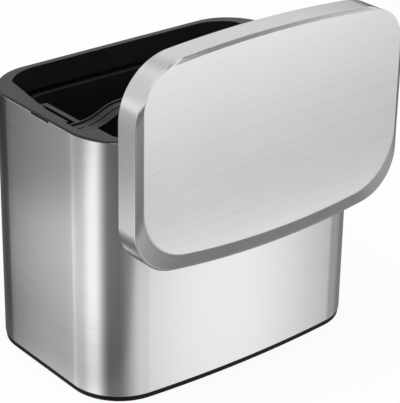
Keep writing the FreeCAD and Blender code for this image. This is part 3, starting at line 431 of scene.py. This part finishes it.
def notch_level(y, level):
    """Height of the sleeve's top edge beside the tabs, where it dips in a soft curve."""
    share = (abs(y) - TAB_WIDTH / 2 + NOTCH_SETBACK) / NOTCH_ROUND
    share = min(max(share, 0.0), 1.0)
    return level - TAB_DROP * (1 - share * share * (3 - 2 * share))


def steel_sleeve():
    """The sleeve with rolled edges and a shallow notch at the top of each side."""
    profile = rounded_profile([(STEEL_WALL, shell_bottom + TURN_IN, 0), (STEEL_WALL, shell_bottom, 0.2),
                               (0, shell_bottom, 0.4), (0, shell_top, 0.75), (STEEL_WALL, shell_top, 0.1),
                               (STEEL_WALL, shell_top - TURN_IN, 0)])
    rings = []
    for inset, height in profile:
        ring = []
        for x, y in body_outline(inset):
            level = height
            if abs(x) > half_width - 2 and height > shell_top - 2 * TAB_DROP:
                level = notch_level(y, height)
            ring.append((x, y + body_middle, level))
        rings.append(ring)
    mesh = mesh_of_rings("steel_sleeve", rings, loop=True)
    return piece("steel_sleeve", mesh, "bin", SHELL_STEEL, ["outer_shell"])


steel_sleeve()


# Pressed lid.

BEVEL_STEPS = 24
FACE_STEPS = 8
BEND_STEPS = 5
FREE_EDGE = 0.35
BEND_DRIFT = 0.012


def lid_ring(inset, share, height, shrink=1.0):
    """A ring of the lid between its skirt's outline and its face's outline, hung upright on the front."""
    skirt = bowed_outline(half_lid, -LID_DEPTH / 2, LID_DEPTH / 2, LID_FRONT_RADIUS, LID_BACK_RADIUS,
                          LID_CORNER_FRONT, LID_CORNER_BACK, inset)
    face = bowed_outline(half_lid - FACE_INSET_SIDE, FACE_INSET_FRONT - LID_DEPTH / 2,
                         LID_DEPTH / 2 - FACE_INSET_BACK, FACE_FRONT_RADIUS, FACE_BACK_RADIUS,
                         FACE_CORNER_FRONT, FACE_CORNER_BACK, inset)
    ring = []
    for (x0, y0), (x1, y1) in zip(skirt, face):
        x = (x0 + (x1 - x0) * share) * shrink
        up = (y0 + (y1 - y0) * share) * shrink
        ring.append((x, lid_plane - height, lid_middle + up))
    return ring


def bevel_height(share):
    """Height across the bevel: nearly straight, eased into the skirt and into the face."""
    soft_start, soft_end = 0.10, 0.22
    if share < soft_start:
        return FACE_RISE * 0.10 * math.sin(math.pi / 2 * share / soft_start)
    if share > 1 - soft_end:
        left = (1 - share) / soft_end
        return FACE_RISE * (1 - 0.16 * left ** 2)
    middle = (share - soft_start) / (1 - soft_start - soft_end)
    return FACE_RISE * (0.10 + 0.74 * middle)


def lid_side(inset, sink, bend):
    """Rings of one side of the pressed sheet, from the skirt's free edge to the middle of the face."""
    top = LID_SKIRT - sink
    rings = [lid_ring(inset, 0.0, FREE_EDGE), lid_ring(inset, 0.0, top - bend)]
    for number in range(1, BEND_STEPS + 1):
        angle = math.pi / 2 * number / BEND_STEPS
        drift = BEND_DRIFT * (1 - math.cos(angle))
        rings.append(lid_ring(inset, drift, top - bend + bend * math.sin(angle)))
    for number in range(1, BEVEL_STEPS + 1):
        share = number / BEVEL_STEPS
        rings.append(lid_ring(inset, share, top + bevel_height(share)))
    for number in range(1, FACE_STEPS):
        rings.append(lid_ring(inset, 1.0, top + FACE_RISE, 1 - number / FACE_STEPS))
    return rings


def pressed_lid():
    """The lid: straight skirt, uneven bevel and raised face in one thickness of sheet, with rolled bends."""
    outside = lid_side(0.0, 0.0, 0.8)
    inside = lid_side(STEEL_WALL, STEEL_WALL, 0.5)
    edge = [lid_ring(STEEL_WALL * share, 0.0, FREE_EDGE * (1 - math.sin(math.pi * share)))
            for share in (0.25, 0.5, 0.75)]
    rings = list(reversed(inside)) + list(reversed(edge)) + outside
    mesh = mesh_of_rings("pressed_lid", rings, capped=True)
    return piece("pressed_lid", mesh, "lid", LID_STEEL, ["lid_shell"])


def weld_studs():
    """Studs welded inside the lid, which take the liner's screws."""
    height = LID_SKIRT + FACE_RISE - STEEL_WALL - LINER_PANEL
    profile = [(STUD_RADIUS - 0.3, 0), (STUD_RADIUS, 0.3), (STUD_RADIUS, height - 0.8),
               (STUD_RADIUS + 0.8, height)]
    spots = [(STUD_X * i, lid_plane - LINER_PANEL, lid_middle + STUD_Y * j)
             for i in (-1, 1) for j in (-1, 1)]
    return turned_pieces("weld_studs", spots, (0, -1, 0), profile, "lid", SCREW_STEEL, [])


pressed_lid()
weld_studs()


# Mouldings, with their edges rounded.

softened("base_tray", "base_pan", "bin", BASE_PLASTIC, 0.5)
softened("rim_collar", "top_collar", "bin", COLLAR_PLASTIC, 0.3)
softened("compost_bucket", "inner_bucket", "bucket", BUCKET_PLASTIC, 0.6)
softened("bail_strap", "bail_handle", "bail", BAIL_PLASTIC, 0.3)
softened("wall_hanger", "hanger_plate", "bin", PLATE_STEEL, 0.3)
softened("inner_tray", "lid_liner", "lid", LINER_PLASTIC, 0.4)
softened("edge_seal", "lid_seal", "lid", SEAL_RUBBER, 0.5)
softened("vent_cover", "filter_cover", "filter", COVER_PLASTIC, 0.3)
softened("left_hook", "lid_hook_left", "lid", HOOK_PLASTIC, 0.6)
softened("right_hook", "lid_hook_right", "lid", HOOK_PLASTIC, 0.6)


# Small turned parts.

def middle_of(name):
    low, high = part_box(name)
    return (low + high) / 2 / MM


def pivot_pin(name, source, side):
    """Headed pin of the bail, its head domed and its free end chamfered."""
    low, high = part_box(source)
    centre = middle_of(source)
    inner = (low.x if side > 0 else high.x) / MM
    length = (high.x - low.x) / MM
    profile = [(1.0, 0), (PIN_HEAD_RADIUS - 0.9, 0.15), (PIN_HEAD_RADIUS - 0.2, 0.6),
               (PIN_HEAD_RADIUS, PIN_HEAD - 0.3), (PIN_HEAD_RADIUS - 0.1, PIN_HEAD), (PIN_RADIUS, PIN_HEAD),
               (PIN_RADIUS, length - 0.4), (PIN_RADIUS - 0.4, length)]
    return turned_pieces(name, [(inner, centre.y, centre.z)], (side, 0, 0), profile,
                         "bail", PIN_STEEL, [source])


pivot_pin("left_pin", "bail_pin_left", -1)
pivot_pin("right_pin", "bail_pin_right", 1)


def corner_spots(source, reach):
    """Centres of the parts that a node has at its outer corners, each reach away from the node's box."""
    low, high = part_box(source)
    xs = (low.x / MM + reach, high.x / MM - reach)
    return low / MM, high / MM, xs


def rubber_feet():
    reach = 8.0
    low, high, xs = corner_spots("foot_pads", reach)
    ys = (low.y + reach, high.y - reach)
    height = high.z
    profile = [(2.5, 0.4), (3.0, 0.0), (6.6, 0.0), (7.6, 0.5), (7.9, 1.4), (7.9, height)]
    spots = [(x, y, 0.0) for x in xs for y in ys]
    return turned_pieces("rubber_feet", spots, (0, 0, 1), profile, "bin",
                         FOOT_RUBBER, ["foot_pads"])


def plate_rivets():
    """Blind rivets: a domed head with the hole that the drawn mandrel leaves."""
    head_radius, head, shank = 4.0, 1.4, 2.0
    low, high, xs = corner_spots("hanger_rivets", head_radius)
    zs = (low.z + head_radius, high.z - head_radius)
    length = high.y - low.y
    profile = [(0.8, 0.9), (0.9, 0.15), (1.2, 0.0), (2.4, 0.12), (3.4, 0.55), (head_radius, head - 0.1),
               (head_radius - 0.1, head), (shank, head), (shank, length)]
    spots = [(x, high.y, z) for x in xs for z in zs]
    return turned_pieces("plate_rivets", spots, (0, -1, 0), profile, "bin",
                         RIVET_ALUMINIUM, ["hanger_rivets"])


def pan_screws(name, source):
    """Pan-head screws with a hexagon socket, driven towards the lid's face."""
    head_radius, head, shank = 3.2, 1.8, 1.5
    low, high, xs = corner_spots(source, head_radius)
    zs = sorted({round(low.z + head_radius, 3), round(high.z - head_radius, 3)})
    length = high.y - low.y
    profile = [(1.1, 1.1), (1.15, 0.1), (1.5, 0.0), (2.4, 0.12), (3.0, 0.6), (head_radius, 1.2),
               (head_radius, head), (shank, head), (shank, length - 0.6), (0.8, length)]
    spots = [(x, high.y, z) for x in xs for z in zs]
    return turned_pieces(name, spots, (0, -1, 0), profile, "lid",
                         SCREW_STEEL, [source], socket=(0, 1))


def front_buttons():
    radius = 6.0
    low, high, xs = corner_spots("lid_bumpers", radius)
    length = high.y - low.y
    profile = [(radius - 1.6, 0.0), (radius - 0.5, 0.4), (radius, 1.4), (radius, length)]
    spots = [(x, high.y, (low.z + high.z) / 2) for x in xs]
    return turned_pieces("front_buttons", spots, (0, -1, 0), profile, "lid",
                         BUMPER_RUBBER, ["lid_bumpers"])


FELT_BUMPS = 0.00012
FELT_FINENESS = 160


def filter_disc():
    """Carbon filter disc: a thin felt disc, a little fuller in the middle, with a soft edge."""
    low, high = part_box("filter_pad")
    centre = middle_of("filter_pad")
    radius, thick = (high.x - low.x) / 2 / MM, (high.y - low.y) / MM
    upper = [(1.0, 0.0), (8.0, 0.02), (16.0, 0.08), (24.0, 0.18), (30.0, 0.35), (32.5, 0.7), (33.6, 1.3)]
    lower = [(across, thick - down) for across, down in reversed(upper)]
    profile = upper + [(radius, 2.0)] + lower
    item = turned_pieces("filter_disc", [(0.0, high.y / MM, centre.z)], (0, -1, 0), profile, "filter",
                         FILTER_FELT, ["filter_pad"])
    middle = centre.y * MM
    for vertex in item.data.vertices:
        push = FELT_BUMPS * noise.noise(vertex.co * FELT_FINENESS)
        vertex.co.y += push if vertex.co.y < middle else -abs(push)
        vertex.co.y = min(max(vertex.co.y, low.y), high.y)
    return item


rubber_feet()
plate_rivets()
pan_screws("tray_screws", "lid_screws")
pan_screws("hook_fixings", "hook_screws")
front_buttons()
filter_disc()


# Camera, at the photograph's angle.

AZIMUTH = math.radians(-39.34)
ELEVATION = math.radians(25.97)
ROLL = math.radians(1.03)
FOCAL_PIXELS = 1739.8
DISTANCE = 1321.9
SIDEWAYS = 16.8
UPWARD = -0.1
AIM_HEIGHT = 204.7 / 2
PICTURE_WIDTH = 400
SENSOR = 36.0

back = Vector((math.sin(AZIMUTH) * math.cos(ELEVATION), -math.cos(AZIMUTH) * math.cos(ELEVATION),
               math.sin(ELEVATION)))
right = Vector((math.cos(AZIMUTH), math.sin(AZIMUTH), 0))
up = back.cross(right)
right_rolled = right * math.cos(ROLL) + up * math.sin(ROLL)
up_rolled = up * math.cos(ROLL) - right * math.sin(ROLL)
spot = back * DISTANCE + right_rolled * SIDEWAYS + up_rolled * UPWARD
spot += Vector((0, body_middle, AIM_HEIGHT))
camera_data = bpy.data.cameras.new("camera")
camera_data.sensor_width = SENSOR
camera_data.lens = FOCAL_PIXELS / PICTURE_WIDTH * SENSOR
camera_data.clip_start = 0.05
camera_data.clip_end = 50
camera = bpy.data.objects.new("camera", camera_data)
axes = Matrix((right_rolled, up_rolled, back)).transposed().to_4x4()
camera.matrix_world = Matrix.Translation(spot * MM) @ axes
bpy.context.scene.collection.objects.link(camera)
bpy.context.scene.camera = camera


# Floor. The camera sees it as white with a faint shadow. The steel mirrors the studio's screens in it,
# dimmer where bands of painted shade lie across it, each stop given as its place in metres and what it lets
# through.
# Beside the left face the bands run on a slant, so that each lies across the part of the face it dims. The
# painted shade shows only in the steel's reflections.

FLOOR_GLOW = 0.92
PAINTED_SHADE_ALONG_Y = [(-0.80, 1.0), (-0.34, 0.62), (-0.25, 1.0)]
PAINTED_SHADE_ALONG_X = [(-0.28, 1.0), (-0.15, 0.70), (-0.11, 1.0)]
PAINTED_SHADE_BESIDE = [(0.00, 1.0), (0.09, 0.50)]
PAINTED_SHADE_BEHIND = [(0.35, 1.0), (0.50, 0.50)]
SLANT = 1.5


def soft_shade_bands(tree, source, bands):
    """A grey level of painted shade that follows the source softly through the stops of the bands."""
    first, last = bands[0][0], bands[-1][0]
    ramp = node(tree, "ShaderNodeValToRGB")
    ramp.color_ramp.interpolation = "EASE"
    stops = ramp.color_ramp.elements
    for number, (place, level) in enumerate(bands):
        if number == 0:
            stop = stops[0]
        elif place == last:
            stop = stops[-1]
        else:
            stop = stops.new((place - first) / (last - first))
        stop.color = (level, level, level, 1.0)
    tree.links.new(spread(tree, source, 0.0, 1.0, first, last), ramp.inputs["Fac"])
    return ramp.outputs["Color"]


def studio_floor():
    material, tree, shader = new_material("floor_pale")
    shader.inputs["Base Color"].default_value = (0.80, 0.80, 0.80, 1.0)
    shader.inputs["Roughness"].default_value = 0.9
    light_path = node(tree, "ShaderNodeLightPath")
    glow = node(tree, "ShaderNodeEmission")
    glow.inputs["Strength"].default_value = 1.0
    clear = node(tree, "ShaderNodeBsdfTransparent")
    place = node(tree, "ShaderNodeTexCoord")
    parts = node(tree, "ShaderNodeSeparateXYZ")
    tree.links.new(place.outputs["Object"], parts.inputs["Vector"])
    # Painted shade: bands that dim what glossy rays see through the floor, so they show only in the steel's
    # reflections.
    along = soft_shade_bands(tree, parts.outputs["Y"], PAINTED_SHADE_ALONG_Y)
    across = soft_shade_bands(tree, parts.outputs["X"], PAINTED_SHADE_ALONG_X)
    beside = figure(tree, "MINIMUM", figure(tree, "ADD", parts.outputs["X"], half_width * MM), 0.0)
    slanting = figure(tree, "ADD", parts.outputs["Y"], figure(tree, "MULTIPLY", beside, SLANT))
    slant = soft_shade_bands(tree, slanting, PAINTED_SHADE_BESIDE)
    behind = soft_shade_bands(tree, figure(tree, "SUBTRACT", parts.outputs["Y"], beside), PAINTED_SHADE_BEHIND)
    front_painted_shade = figure(tree, "MULTIPLY", along, across)
    left_painted_shade = figure(tree, "MULTIPLY", slant, behind)
    tree.links.new(figure(tree, "MULTIPLY", front_painted_shade, left_painted_shade), clear.inputs["Color"])
    whitened = node(tree, "ShaderNodeMixShader")
    seen = node(tree, "ShaderNodeMixShader")
    whiteness = figure(tree, "MULTIPLY", light_path.outputs["Is Camera Ray"], FLOOR_GLOW)
    tree.links.new(whiteness, whitened.inputs[0])
    tree.links.new(shader.outputs["BSDF"], whitened.inputs[1])
    tree.links.new(glow.outputs["Emission"], whitened.inputs[2])
    tree.links.new(light_path.outputs["Is Glossy Ray"], seen.inputs[0])
    tree.links.new(whitened.outputs["Shader"], seen.inputs[1])
    tree.links.new(clear.outputs["BSDF"], seen.inputs[2])
    tree.links.new(seen.outputs["Shader"], tree.nodes["Material Output"].inputs["Surface"])
    reach = 6.0
    mesh = bpy.data.meshes.new("floor")
    mesh.from_pydata([(-reach, -reach, 0), (reach, -reach, 0), (reach, reach, 0), (-reach, reach, 0)],
                     [], [(0, 1, 2, 3)])
    mesh.materials.append(material)
    floor = bpy.data.objects.new("floor", mesh)
    bpy.context.scene.collection.objects.link(floor)


# Studio: soft white screens round the object, each with its direction, width, height and brightness.
# The direction is measured from +X towards +Y, in degrees, and the height from the horizon.

ROOM_SHADE = 0.25
SCREENS = [
    # middle, half width, soft edges before and after, lowest, highest, soft edge, brightness
    (162, 38, 10, 24, -60, 8, 12, 0.76),
    (129, 5, 8, 10, -60, 8, 12, 0.36),
    (177, 14, 22, 18, -60, 8, 12, 0.55),
    (290, 35, 50, 14, -38, 12, 8, 0.86),
    (307, 9, 12, 12, -38, 32, 8, 0.38),
    (342, 17, 10, 20, -38, 20, 8, 0.24),
    (51, 50, 30, 30, 12, 44, 12, 0.72),
    (30, 28, 20, 20, 38, 51, 8, 0.80),
    (316, 24, 12, 12, 2, 48, 8, 0.70),
    (145, 50, 24, 24, 6, 84, 12, 0.64),
]


def studio_world():
    world = bpy.data.worlds.new("world")
    bpy.context.scene.world = world
    world.use_nodes = True
    tree = world.node_tree
    ground = tree.nodes["Background"]
    direction = node(tree, "ShaderNodeTexCoord").outputs["Generated"]
    parts = node(tree, "ShaderNodeSeparateXYZ")
    tree.links.new(direction, parts.inputs["Vector"])
    height = figure(tree, "ARCSINE", parts.outputs["Z"])
    total = None
    for middle, half, soft_before, soft_after, lowest, highest, soft_level, bright in SCREENS:
        facing = math.radians(middle)
        ahead = node(tree, "ShaderNodeVectorMath", operation="DOT_PRODUCT")
        aside = node(tree, "ShaderNodeVectorMath", operation="DOT_PRODUCT")
        ahead.inputs[1].default_value = (math.cos(facing), math.sin(facing), 0)
        aside.inputs[1].default_value = (-math.sin(facing), math.cos(facing), 0)
        tree.links.new(direction, ahead.inputs[0])
        tree.links.new(direction, aside.inputs[0])
        turn = figure(tree, "ARCTAN2", aside.outputs["Value"], ahead.outputs["Value"])
        share = None
        edges = ((turn, -half, soft_before, 1), (turn, half, soft_after, -1),
                 (height, lowest, soft_level, 1), (height, highest, soft_level, -1))
        for source, edge, soft, sense in edges:
            outside, inside = math.radians(edge - sense * soft / 2), math.radians(edge + sense * soft / 2)
            if sense > 0:
                window = spread(tree, source, 0.0, 1.0, outside, inside, smooth=True)
            else:
                window = spread(tree, source, 1.0, 0.0, inside, outside, smooth=True)
            share = window if share is None else figure(tree, "MULTIPLY", share, window)
        glow = figure(tree, "MULTIPLY", share, bright)
        total = figure(tree, "ADD", glow, ROOM_SHADE if total is None else total)
    light_path = node(tree, "ShaderNodeLightPath")
    level = node(tree, "ShaderNodeMix", data_type="FLOAT")
    tree.links.new(light_path.outputs["Is Camera Ray"], level.inputs["Factor"])
    tree.links.new(total, level.inputs["A"])
    level.inputs["B"].default_value = 1.0
    tree.links.new(level.outputs["Result"], ground.inputs["Strength"])
    ground.inputs["Color"].default_value = (1.0, 1.0, 1.0, 1.0)


def lamp(name, place, target, size, power):
    data = bpy.data.lights.new(name, "AREA")
    data.shape = "RECTANGLE"
    data.size, data.size_y = size
    data.energy = power
    item = bpy.data.objects.new(name, data)
    item.location = place
    item.rotation_euler = (Vector(target) - Vector(place)).to_track_quat("-Z", "Y").to_euler()
    bpy.context.scene.collection.objects.link(item)
    return item


MIDDLE = (0.0, 0.0, 0.1)
studio_floor()
studio_world()
lamp("overhead", (-0.2, -0.1, 1.6), MIDDLE, (1.2, 1.2), 14.0)
lamp("front_fill", (-1.0, -1.2, 1.3), MIDDLE, (0.8, 0.8), 6.0)

bpy.context.scene.view_settings.view_transform = "Standard"
